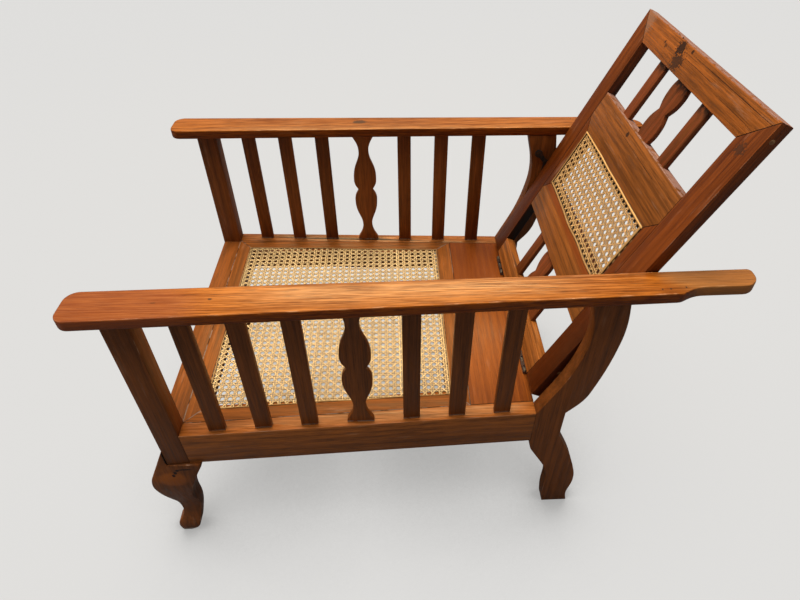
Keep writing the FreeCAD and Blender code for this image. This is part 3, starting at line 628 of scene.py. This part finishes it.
def cane_panel(label, corners, pitch, strand, turn, plane, material, body, phase):
    """The strands of a six-way cane weave over a convex outline, as pieces that stand for the panel's node.

    With pitch p, w the half gap of a pair and h the height of a wave, all about a lattice turned a little:
      lengthwise pair   x = kp + s w,       z =  s h sin(2 pi y / p)    for s = -1 and +1
      crosswise pair    y = kp + s w,       z = -s h sin(2 pi x / p)
      first diagonal    y - x = (k + 1/2)p, z =  1.5 h cos(2 pi x / p)
      second diagonal   x + y = (k + 1/2)p, z = -1.5 h cos(2 pi x / p)
    """
    half_gap, height, thick, crown_share = strand * 0.76, 0.50 * MM, 0.55 * MM, 0.54
    deep = 1.5 * height
    stray_height, stray_side = 0.08 * MM, 0.12 * MM
    tone_spread, tone_least, tone_most = 0.14, 0.66, 1.28
    # Painted shade and light by height: strands darken where they dip under the others and lighten where they ride
    # over.
    painted_shade_base, painted_shade_gain = 0.78, 0.56
    corners = np.asarray(corners)
    phase = np.array(phase)
    c, s = math.cos(turn), math.sin(turn)
    basis = np.array([[c, s], [-s, c]])
    reach = int(math.ceil(np.abs(corners).max() * 1.5 / pitch)) + 2
    rows = range(-reach, reach + 1)
    pairs = [(k * pitch + sign * half_gap, sign * height) for k in rows for sign in (-1.0, 1.0)]
    families = {
        "lengthwise": [((at, 0.0), (0.0, 1.0), rise, np.sin, 1) for at, rise in pairs],
        "crosswise": [((0.0, at), (1.0, 0.0), -rise, np.sin, 0) for at, rise in pairs],
        "diagonal": [((0.0, (k + 0.5) * pitch), (1.0, way), way * deep, np.cos, 0)
                     for k in rows for way in (1.0, -1.0)],
    }
    wave = 2.0 * math.pi / pitch
    u = strand / 2
    profile = [(-u, 0.0), (-crown_share * u, thick), (crown_share * u, thick), (u, 0.0), (0.0, -0.6 * thick)]
    steps_per_hole = bpy.context.scene.planters_cane.samples
    rng = np.random.default_rng(RNG_SEED + 91)
    for name, lines in families.items():
        strips = []
        for origin, direction, rise, shape, axis in lines:
            origin, direction = np.array(origin), np.array(direction)
            run = cut_line((origin + phase) @ basis, direction @ basis, corners)
            if run is None:
                continue
            t = np.linspace(run[0], run[1], max(2, int(round((run[1] - run[0]) / pitch * steps_per_hole)) + 1))
            lattice = origin[None, :] + phase + t[:, None] * direction[None, :]
            z = rise * shape(wave * (lattice - phase)[:, axis]) + rng.normal(0.0, stray_height)
            sideways = np.array([direction[1], -direction[0]]) @ basis / np.linalg.norm(direction)
            flat = lattice @ basis + sideways[None, :] * rng.normal(0.0, stray_side)
            tone = float(np.clip(rng.normal(1.0, tone_spread), tone_least, tone_most))
            # The strand's own tone times its painted shade by height.
            strips.append((on_plane(plane, flat[:, 0], flat[:, 1], z), sideways[0] * ACROSS + sideways[1] * plane[1],
                           tone * (painted_shade_base + painted_shade_gain * z / deep)))
        strip_piece(label + "_" + name + "_strands", strips, profile, plane, material, body, label + "_cane")


def edge_spline(label, corners, width, height, plane, material, body, wavy, seed, side_tones):
    """The rattan spline that wedges the cane into its groove, one length to a side.

    A half-round profile (w cos a, h sin a) for a from 0 to pi, carried along each side, which wanders by
    wavy mm across and lifts at its joints. Each side has its own tone.
    """
    step, knot_spacing, lift_spread, tone_spread, smoothing = 6.0 * MM, 35.0 * MM, 0.3, 0.06, 9
    angle = np.linspace(0.0, math.pi, 7)
    profile = [(width / 2 * math.cos(a), height * math.sin(a)) for a in angle]
    rng = np.random.default_rng(RNG_SEED + 300 + seed)
    corners = np.asarray(corners, float)
    middle = corners.mean(axis=0)
    strips = []
    for start, end, side_tone in zip(corners, np.roll(corners, -1, axis=0), side_tones):
        length = np.linalg.norm(end - start)
        t = np.linspace(0.0, 1.0, max(12, int(length / step)))
        way = (end - start) / length
        inward = np.array([-way[1], way[0]])
        if inward @ (middle - start) < 0.0:
            inward = -inward
        knots = rng.normal(0.0, 1.0, max(4, int(length / knot_spacing)))
        at = np.linspace(0.0, 1.0, len(knots))
        drift = np.pad(np.interp(t, at, knots), smoothing // 2, mode="edge")
        drift = np.convolve(drift, np.ones(smoothing) / smoothing, mode="valid") * wavy * MM
        flat = start[None, :] + t[:, None] * (end - start)[None, :] + inward[None, :] * (width * 0.5 + drift[:, None])
        rise = np.interp(t, at, np.abs(rng.normal(0.0, lift_spread, len(knots)))) * MM
        strips.append((on_plane(plane, flat[:, 0], flat[:, 1], rise), inward[0] * ACROSS + inward[1] * plane[1],
                       side_tone + rng.uniform(-tone_spread, tone_spread)))
    strip_piece(label, strips, profile, plane, material, body)


# Operators

class PLANTERS_OT_arms(bpy.types.Operator):
    """Long flat arms of honey teak with a worn satin varnish."""
    bl_idname = "planters.arms"
    bl_label = "Arms"

    def execute(self, context):
        wood_is = context.scene.planters_wood
        light = tuple(wood_is.arm_colour)
        knot = (0.045, 0.016, 0.006)
        # A darker, greyer patch over the near arm's front end.
        darker_front, pale_tail = lighter(light, (0.50, 0.42, 1.4)), lighter(light, (0.85, 1.25, 3.6))
        spots = [((0.325, -0.520, 0.690), (0.08, 0.20, 0.06), darker_front, 0.6, 0.12),
                 ((0.3084, -0.3112, 0.679), (0.0022, 0.0034, 0.02), knot, 0.95, 0.2),
                 ((0.3148, -0.3988, 0.682), (0.0014, 0.0060, 0.02), knot, 0.6, 0.3),
                 ((-0.3135, -0.0995, 0.671), (0.009, 0.016, 0.02), knot, 0.85, 0.5),
                 ((0.262, 0.500, 0.650), (0.06, 0.10, 0.05), pale_tail, 0.5, 0.05)]
        # The arms' sides are darkened as painted shade.
        material = wood("arm_teak", light, lighter(light, (0.38, 0.30, 0.24)), wood_is.wear, (0.74, 0.36, 0.17),
                        streaks=0.38, rings=0.25, fibres=1.05, pores=0.7, rough=(0.34, 0.52), coat=0.85,
                        shine=0.15, spots=spots, flank_shade=(0.55, 0.42, 0.28))
        for number, (side, tone) in enumerate((("left", 1.0), ("right", 0.88))):
            eased_copy("arm_" + side, ALONG, ACROSS, material, "arm_wood", tone=tone, tight=slats_of(side), seed=number)
        return {"FINISHED"}


class PLANTERS_OT_side_frames(bpy.types.Operator):
    """Posts, legs, rails and slats of both sides, and the front and rear rails."""
    bl_idname = "planters.side_frames"
    bl_label = "Side frames"

    def execute(self, context):
        wood_is = context.scene.planters_wood
        wear = wood_is.wear
        slat = tuple(wood_is.slat_colour)
        rail = tuple(wood_is.frame_colour)
        dust = (0.34, 0.28, 0.22)
        crack = (0.010, 0.006, 0.005)
        foot = -(node_points("side_rail_left") @ UPWARD).max()
        slat_teak = wood("slat_teak", slat, lighter(slat, 0.45), wear * 0.6, lighter(slat, 1.9), streaks=0.7,
                         rings=0.2, rough=(0.38, 0.55), coat=0.0,
                         bands=[(-UPWARD, foot - 4.5 * MM, foot - 2.5 * MM, dust, 0.8)])
        # The side rails' sides are darkened a little as painted shade, and their extra scuffs stand partly for wear and
        # partly for painted highlight streaks on their tops.
        side_teak = wood("side_rail_teak", lighter(rail, 1.2), lighter(rail, 0.42), min(1.0, wear * 1.6),
                         streaks=0.7, fibres=0.7, rough=(0.32, 0.55), coat=0.5, flank_shade=(0.9, 0.88, 0.85))
        rail_teak = wood("rail_teak", lighter(rail, (0.75, 0.68, 0.64)), lighter(rail, 0.38), wear,
                         rough=(0.32, 0.55), seam=dust)
        leg_spots = [((0.343, -0.503, 0.226), (0.02, 0.030, 0.022), lighter(slat, (1.25, 1.15, 0.7)), 0.7, 0.15),
                     ((0.343, -0.4985, 0.2375), (0.02, 0.0036, 0.0042), crack, 0.95, 0.3),
                     ((0.343, -0.4935, 0.2455), (0.02, 0.0038, 0.0046), crack, 0.95, 0.3),
                     ((0.343, -0.4880, 0.2530), (0.02, 0.0040, 0.0036), crack, 0.95, 0.3),
                     ((0.343, -0.472, 0.255), (0.02, 0.015, 0.0022), crack, 0.95, 0.3),
                     ((0.338, -0.536, 0.006), (0.05, 0.03, 0.0035), (0.34, 0.24, 0.17), 0.7, 0.5)]
        leg_teak = wood("leg_teak", lighter(slat, 0.94), lighter(slat, 0.45), wear * 0.9, fibres=0.5,
                        rough=(0.38, 0.55), coat=0.0, spots=leg_spots)
        kinds = {("side_slat", "vase_slat"): (UPWARD, ALONG, slat_teak, "frame_wood", 0.8),
                 ("side_rail",): (ALONG, UPWARD, side_teak, "frame_wood", 1.0),
                 ("front_rail", "rear_rail"): (ACROSS, UPWARD, rail_teak, "frame_wood", 1.0),
                 ("front_post",): (UPWARD, ALONG, leg_teak, "frame_wood", 1.0),
                 ("rear_leg",): (UPWARD, ALONG, leg_teak, "leg_wood", 1.0),
                 ("front_leg",): (UPWARD, ALONG, leg_teak, "leg_wood", 2.2)}
        for number, node in enumerate(sorted(NODES)):
            tight = slats_of(node.rsplit("_", 1)[-1]) if node.startswith("side_rail") else ()
            for starts, look in kinds.items():
                if node.startswith(starts):
                    eased_copy(node, *look, tight=tight, seed=number)
        return {"FINISHED"}


class PLANTERS_OT_seat_frame(bpy.types.Operator):
    """Mitred seat frame, rear board and bearers."""
    bl_idname = "planters.seat_frame"
    bl_label = "Seat frame"

    def execute(self, context):
        wood_is = context.scene.planters_wood
        colour = tuple(wood_is.frame_colour)
        frame_teak = wood("seat_teak", lighter(colour, (0.88, 0.82, 0.7)), lighter(colour, 0.4), wood_is.wear,
                          streaks=0.7, rough=(0.30, 0.55), seam=(0.30, 0.25, 0.20))
        shadow = ((-0.24, 0.16, 0.337), (0.16, 0.10, 0.03), lighter(colour, (0.40, 0.26, 0.16)), 0.6, 0.1)
        board_teak = wood("board_teak", lighter(colour, (0.74, 0.62, 0.46)), lighter(colour, (0.42, 0.32, 0.3)),
                          wood_is.wear, rings=0.4, rough=(0.28, 0.5), spots=[shadow], seam=(0.06, 0.035, 0.02))
        nodes = sorted(name for name in NODES if name.startswith(("seat_frame", "seat_bearer", "rear_board")))
        for seed, node in enumerate(nodes, 40):
            lengthwise = node.startswith(("seat_frame_side", "seat_bearer"))
            ways = (ALONG, ACROSS) if lengthwise else (ACROSS, ALONG)
            eased_copy(node, *ways, board_teak if node == "rear_board" else frame_teak, "frame_wood", 0.9, seed=seed)
        return {"FINISHED"}


class PLANTERS_OT_seat_cane(bpy.types.Operator):
    """Woven cane of the seat and its rattan spline."""
    bl_idname = "planters.seat_cane"
    bl_label = "Seat cane"

    def execute(self, context):
        cane_is = context.scene.planters_cane
        colour = tuple(cane_is.colour)
        corners, plane, face = cane_place("seat_cane", ALONG, UPWARD)
        cane_panel("seat", corners, cane_is.seat_pitch, cane_is.strand * 1.12, math.radians(0.5), plane,
                   cane_material("seat_cane", colour), "frame", (0.0, cane_is.seat_pitch / 2))
        spline = cane_material("seat_spline", lighter(colour, (0.58, 0.46, 0.34)))
        edge_spline("seat_spline", corners, 3.0 * MM, 1.8 * MM, face, spline, "frame", 0.7, 1, (1.0, 1.0, 1.0, 1.0))
        return {"FINISHED"}


class PLANTERS_OT_back_frame(bpy.types.Operator):
    """Stiles, rails, strips and slats of the reclining back."""
    bl_idname = "planters.back_frame"
    bl_label = "Back frame"

    def execute(self, context):
        wood_is = context.scene.planters_wood
        wear = wood_is.wear
        gold = tuple(wood_is.back_colour)
        slat = tuple(wood_is.slat_colour)
        ink = (0.022, 0.009, 0.005)
        # Pale pink: painted highlight along the upward edges of the top rail and the upper rail.
        pink_edge_highlight = (0.36, 0.21, 0.17)
        painted_arm_shadow = lighter(gold, (0.17, 0.09, 0.06))
        lower_rail = node_points("back_lower_rail")
        upper_edge = UP_BACK * (lower_rail @ UP_BACK).max() + FORWARD * (lower_rail @ FORWARD).max()
        crest = (node_points("back_top_rail") @ UP_BACK).max()
        eaves = (node_points("back_top_rail") @ UP_BACK).min()
        ledge = (node_points("back_upper_rail") @ UP_BACK).max()
        top_spots = [((-0.130, 0.4985, 0.8775), (0.003, 0.003, 0.003), ink, 0.8, 0.6),
                     ((-0.121, 0.4970, 0.8740), (0.005, 0.004, 0.004), ink, 0.6, 0.9),
                     ((-0.085, 0.5090, 0.8985), (0.003, 0.003, 0.003), ink, 0.9, 0.4),
                     ((-0.068, 0.5020, 0.8850), (0.015, 0.014, 0.013), (0.030, 0.011, 0.005), 0.95, 0.9),
                     ((-0.054, 0.4930, 0.8690), (0.019, 0.014, 0.017), (0.045, 0.018, 0.008), 0.85, 1.1),
                     ((0.12, 0.504, 0.8892), (0.14, 0.010, 0.0006), ink, 0.85, 0.5),
                     ((0.02, 0.499, 0.8790), (0.07, 0.010, 0.0005), ink, 0.7, 0.5),
                     ((0.16, 0.495, 0.8710), (0.06, 0.010, 0.0005), ink, 0.6, 0.5),
                     ((-0.104, 0.5102, 0.9007), (0.004, 0.004, 0.004), ink, 0.9, 0.3),
                     ((-0.0295, 0.5058, 0.892), (0.004, 0.004, 0.004), ink, 0.9, 0.3),
                     ((-0.2355, 0.5002, 0.8811), (0.022, 0.03, 0.03), (0.30, 0.20, 0.14), 0.35, 0.9)]
        rail_spots = [((-0.0394, 0.4288, 0.7404), (0.005, 0.006, 0.006), ink, 0.9, 0.4),
                      (upper_edge, (3.0, 0.028, 0.028), lighter(gold, (0.42, 0.26, 0.18)), 0.7, 0.1),
                      ((0.03, 0.42, 0.72), (0.03, 0.004, 0.004), (0.10, 0.04, 0.015), 0.5, 0.8),
                      ((0.02, 0.425, 0.733), (0.11, 0.008, 0.0006), ink, 0.75, 0.5)]
        # The large dark spots low on both stiles, stronger on the near one, are painted shadow of the arms.
        stile_spots = [((0.24, 0.30, 0.48), (0.06, 0.12, 0.17), painted_arm_shadow, 0.75, 0.1),
                       ((-0.24, 0.30, 0.48), (0.06, 0.12, 0.17), painted_arm_shadow, 0.45, 0.1),
                       ((0.2327, 0.4828, 0.8468), (0.010, 0.010, 0.010), (0.045, 0.018, 0.009), 0.75, 1.0)]
        # The pink bands at the top rail's crest and the upper rail's ledge are painted highlight.
        top_teak = wood("top_rail_teak", lighter(gold, (1.15, 1.05, 0.85)), lighter(gold, 0.42), wear,
                        streaks=0.42, fibres=0.7, spots=top_spots,
                        bands=[(UP_BACK, crest - 3.0 * MM, crest - 0.8 * MM, pink_edge_highlight, 0.75)])
        rail_teak = wood("back_rail_teak", lighter(gold, 0.84), lighter(gold, 0.34), wear, rings=0.4,
                         spots=rail_spots, bands=[(UP_BACK, ledge - 2.5 * MM, ledge - 0.8 * MM, pink_edge_highlight, 0.6)])
        # The dark band low on the stiles is painted shadow of the arms as well.
        stile_teak = wood("stile_teak", lighter(gold, (0.48, 0.36, 0.26)), lighter(gold, (0.20, 0.13, 0.10)), wear,
                          spots=stile_spots,
                          bands=[(0.5 * ACROSS - UP_BACK, -0.62, -0.48, (0.030, 0.009, 0.003), 0.55)])
        # The dark band at the slats' top ends, just under the top rail, is painted shadow.
        slat_teak = wood("back_slat_teak", lighter(slat, (0.82, 0.66, 0.9)), lighter(slat, 0.34), wear * 0.5,
                         lighter(slat, 1.8), streaks=0.7, rings=0.2, rough=(0.36, 0.5), coat=0.0,
                         bands=[(UP_BACK, eaves - 24.0 * MM, eaves - 4.0 * MM, (0.016, 0.006, 0.003), 0.85)])
        nodes = sorted(name for name in NODES if name.startswith("back_") and name != "back_cane")
        for seed, node in enumerate(nodes, 70):
            if "slat" in node:
                look = UP_BACK, ACROSS, slat_teak
            elif node.startswith(("back_stile", "back_cane_strip")):
                look = UP_BACK, ACROSS, stile_teak
            else:
                look = ACROSS, UP_BACK, top_teak if node == "back_top_rail" else rail_teak
            eased_copy(node, *look, "back_wood", 0.8, seed=seed,
                       tight=[name for name in NODES if name.startswith("back_") and "slat" in name and name != node])
        return {"FINISHED"}


class PLANTERS_OT_back_cane(bpy.types.Operator):
    """Woven cane of the back and its rattan spline."""
    bl_idname = "planters.back_cane"
    bl_label = "Back cane"

    def execute(self, context):
        cane_is = context.scene.planters_cane
        colour = tuple(cane_is.colour)
        corners, plane, face = cane_place("back_cane", UP_BACK, FORWARD)
        material = cane_material("back_cane", lighter(colour, (0.86, 0.74, 0.62)))
        cane_panel("back", corners, cane_is.back_pitch, cane_is.strand * 1.22, math.radians(-0.8), plane, material,
                   "back", (0.0, 8.15 * MM))
        spline = cane_material("back_spline", lighter(colour, (0.85, 0.68, 0.48)), 0.3)
        edge_spline("back_spline", corners, 5.2 * MM, 2.8 * MM, face, spline, "back", 1.5, 2, (0.6, 0.75, 1.15, 0.7))
        return {"FINISHED"}


class PLANTERS_OT_ironwork(bpy.types.Operator):
    """Hinges, hooks and rest rod."""
    bl_idname = "planters.ironwork"
    bl_label = "Ironwork"

    def execute(self, context):
        steel = iron_material("hinge_steel", (0.20, 0.19, 0.18), (0.10, 0.055, 0.03), 0.40)
        iron = iron_material("hook_iron", (0.045, 0.042, 0.04), (0.05, 0.022, 0.012), 0.45, 0.8)
        for starts, material in (("hinge", steel), (("rod_hook", "rest_rod"), iron)):
            for name, node in NODES.items():
                if name.startswith(starts):
                    node.data.materials.clear()
                    node.data.materials.append(material)
        return {"FINISHED"}


def small_heads(name, places, radius, height, rings, material, body, hollow=0.0):
    """Round heads such as nails, pegs and screws, each about its own normal.

    A profile r(a) = R sin a, h(a) = H cos a for a from 0 to pi / 2 is carried round the normal, and a slot or a
    dished middle of depth hollow is pressed into it.
    """
    sides, slot_half, sunk = 16, 0.3, 0.6 * MM
    a = np.linspace(0.0, math.pi / 2, rings)[1:]
    turn = np.linspace(0.0, 2.0 * math.pi, sides, endpoint=False)
    points, faces, first = [], [], 0
    for centre, normal, about in places:
        centre = np.asarray(centre)
        normal = np.asarray(normal, float) / np.linalg.norm(normal)
        side = np.cross(normal, [0.0, 0.0, 1.0] if abs(normal[2]) < 0.9 else [1.0, 0.0, 0.0])
        side /= np.linalg.norm(side)
        circle = np.cos(turn)[:, None] * side + np.sin(turn)[:, None] * np.cross(normal, side)
        pressed = (np.abs(np.sin(turn - about))[None, :] < slot_half) * np.cos(a)[:, None]
        level = height * np.cos(a)[:, None] - hollow * pressed
        rows = centre + radius * np.sin(a)[:, None, None] * circle[None, :, :] + level[:, :, None] * normal
        points += [(centre + (height - hollow) * normal)[None, :], rows.reshape(-1, 3),
                   centre + radius * circle - sunk * normal]
        last = first + 1 + len(a) * sides
        faces += ring_faces(len(a) + 1, sides, first + 1).tolist()
        faces += [[first, first + 1 + (k + 1) % sides, first + 1 + k] for k in range(sides)]
        faces.append([last + k for k in range(sides)])
        first = last + sides
    mesh = new_mesh(name, np.concatenate(points).tolist(), faces, material)
    closed(mesh)
    mesh.shade_smooth()
    mesh.set_sharp_from_angle(angle=math.radians(50.0))
    return placed(name, mesh, body)


class PLANTERS_OT_fixings(bpy.types.Operator):
    """Nails in the arms, screws in the hinges and pegs in the back's stiles."""
    bl_idname = "planters.fixings"
    bl_label = "Nails, screws and pegs"

    def execute(self, context):
        bite = 0.05 * MM
        nails = (0.3078, 0.3955), (0.3070, 0.4088), (0.3037, 0.4343)
        screws = (-0.022, 0.322, 0.4), (0.0, 0.314, 1.3), (0.022, 0.322, 2.2)
        pegs = (0.5055, 0.8702), (0.2765, 0.4083)
        iron = iron_material("nail_iron", (0.05, 0.045, 0.04), (0.03, 0.012, 0.006), 0.5, 0.6)
        top = (node_points("arm_left") @ UPWARD).max()
        for side, sign in SIDES:
            places = [((sign * x, y, (top - y * UPWARD[1]) / UPWARD[2]), UPWARD, 0.0) for x, y in nails]
            small_heads("arm_nails_" + side, places, 1.5 * MM, 0.25 * MM, 4, iron, "frame")
        steel = iron_material("screw_steel", (0.24, 0.23, 0.22), (0.09, 0.05, 0.03), 0.35)
        for side, sign in SIDES:
            leaf = node_points("hinge_seat_leaf_" + side)
            middle = (leaf[:, 0].max() + leaf[:, 0].min()) / 2
            along = (leaf @ ALONG).max() - bite
            places = [((middle + sign * across) * ACROSS + along * ALONG + up * UPWARD, ALONG, about)
                      for across, up, about in screws]
            small_heads("hinge_screws_" + side, places, 3.2 * MM, 0.9 * MM, 5, steel, "frame",
                        0.5 * MM)
        peg = wood("peg_teak", (0.42, 0.22, 0.10), (0.20, 0.09, 0.035), 0.3, streaks=1.0, rings=0.5, fibres=0.5,
                   rough=(0.5, 0.6), coat=0.0)
        edge = np.abs(node_points("back_stile_left")[:, 0]).max()
        for side, sign in SIDES:
            places = [((sign * (edge - bite), y, z), (sign, 0.0, 0.0), 0.0) for y, z in pegs]
            mesh = small_heads("stile_pegs_" + side, places, 4.2 * MM, 0.35 * MM, 4, peg, "back").data
            store(mesh, "grain", points_of(mesh), "FLOAT_VECTOR")
            store(mesh, "arris", np.zeros(len(mesh.vertices)))
            store(mesh, "tone", np.ones(len(mesh.vertices)))
        return {"FINISHED"}


class PLANTERS_OT_stage(bpy.types.Operator):
    """Pale floor, soft studio light and the camera."""
    bl_idname = "planters.stage"
    bl_label = "Stage"

    def execute(self, context):
        scene = context.scene
        stage_is = scene.planters_stage
        pale = tuple(stage_is.floor_colour)
        scene.view_settings.view_transform = "Standard"
        scene.view_settings.look = "None"

        half, shade_reach, shade_rays = 14.0, 0.40, 12
        camera_place, camera_turns = (0.98565, 0.00593, 1.26293), (48.1407, 3.0046, 89.1087)
        material, w, inputs = new_material("floor_paper")
        mesh = new_mesh("floor", [(-half, -half, 0), (half, -half, 0), (half, half, 0), (-half, half, 0)],
                        [(0, 1, 2, 3)], material)
        floor = bpy.data.objects.new("floor", mesh)
        scene.collection.objects.link(floor)
        seen = w.node("ShaderNodeLightPath").outputs["Is Camera Ray"]
        # Ambient occlusion darkens the floor's glow under and near the chair: a painted shadow.
        closeness = w.node("ShaderNodeAmbientOcclusion", Distance=shade_reach)
        closeness.samples = shade_rays
        painted_floor_shade = w.plus(0.55, w.times(w.ramp(closeness.outputs["AO"], 0.60, 0.95), 0.45))
        glow = w.tinted(lighter(pale, 0.90), w.grey(painted_floor_shade))
        w.fill(inputs, Base_Color=w.mix(seen, (0.16, 0.16, 0.16), lighter(pale, 0.06)),
               Emission_Color=w.mix(seen, (0.0, 0.0, 0.0), glow))
        inputs["Emission Strength"].default_value = 1.0
        inputs["Roughness"].default_value = 1.0
        inputs["Specular IOR Level"].default_value = 0.0

        world = bpy.data.worlds.new("studio")
        world.use_nodes = True
        scene.world = world
        w = Wiring(world.node_tree)
        seen = w.node("ShaderNodeLightPath").outputs["Is Camera Ray"]
        w.fill(world.node_tree.nodes["Background"].inputs, Color=w.mix(seen, (0.135, 0.14, 0.145), pale),
               Strength=1.0)

        def light(name, kind, aim, **values):
            """A light that shines along aim."""
            lamp = bpy.data.lights.new(name, kind)
            for label, value in values.items():
                setattr(lamp, label, value)
            made = bpy.data.objects.new(name, lamp)
            made.rotation_euler = Vector(aim).to_track_quat("-Z", "Y").to_euler()
            scene.collection.objects.link(made)
            return made

        for name, aim, spread, strength in (("overhead", (0.02, 0.12, -1.0), 40.0, stage_is.overhead),
                                            ("front_fill", (0.10, 1.0, -0.7), 50.0, stage_is.front_fill)):
            light(name, "SUN", aim, energy=strength, angle=math.radians(spread)).visible_glossy = False
        place = Vector((-2.0, 0.12, 2.6))
        light("arm_light", "AREA", Vector((0.3, 0.0, 0.6)) - place, shape="RECTANGLE", size=2.3, size_y=0.5,
              energy=stage_is.arm_light, color=(1.0, 0.75, 0.36)).location = place

        camera = bpy.data.cameras.new("camera")
        camera.lens = stage_is.lens
        camera.sensor_width = 36.0
        viewer = bpy.data.objects.new("camera", camera)
        viewer.location = camera_place
        viewer.rotation_euler = [math.radians(turn) for turn in camera_turns]
        scene.collection.objects.link(viewer)
        scene.camera = viewer
        return {"FINISHED"}


OPERATORS = (PLANTERS_OT_stage, PLANTERS_OT_arms, PLANTERS_OT_side_frames, PLANTERS_OT_seat_frame,
             PLANTERS_OT_seat_cane, PLANTERS_OT_back_frame, PLANTERS_OT_back_cane, PLANTERS_OT_ironwork,
             PLANTERS_OT_fixings)


class PLANTERS_PT_panel(bpy.types.Panel):
    """The chair's pieces, colours and sizes."""
    bl_idname = "PLANTERS_PT_panel"
    bl_label = "Planters Chair"
    bl_space_type = "VIEW_3D"
    bl_region_type = "UI"
    bl_category = "Planters Chair"

    def draw(self, context):
        for settings in (context.scene.planters_wood, context.scene.planters_cane, context.scene.planters_stage):
            box = self.layout.box()
            for name in settings.bl_rna.properties.keys():
                if name not in ("rna_type", "name"):
                    box.prop(settings, name)
        for operator in OPERATORS:
            self.layout.operator(operator.bl_idname)


CLASSES = (WoodSettings, CaneSettings, StageSettings, *OPERATORS, PLANTERS_PT_panel)


def register():
    """Adds the settings, the operators and the panel."""
    for made in CLASSES:
        bpy.utils.register_class(made)
    bpy.types.Scene.planters_wood = PointerProperty(type=WoodSettings)
    bpy.types.Scene.planters_cane = PointerProperty(type=CaneSettings)
    bpy.types.Scene.planters_stage = PointerProperty(type=StageSettings)


def unregister():
    """Takes them away again."""
    del bpy.types.Scene.planters_wood
    del bpy.types.Scene.planters_cane
    del bpy.types.Scene.planters_stage
    for made in reversed(CLASSES):
        bpy.utils.unregister_class(made)


def main():
    """Builds everything in order."""
    register()
    for operator in OPERATORS:
        name = operator.bl_idname.split(".")[1]
        if getattr(bpy.ops.planters, name)() != {"FINISHED"}:
            raise RuntimeError(operator.bl_label + " didn't finish")


if __name__ == "__main__":
    main()
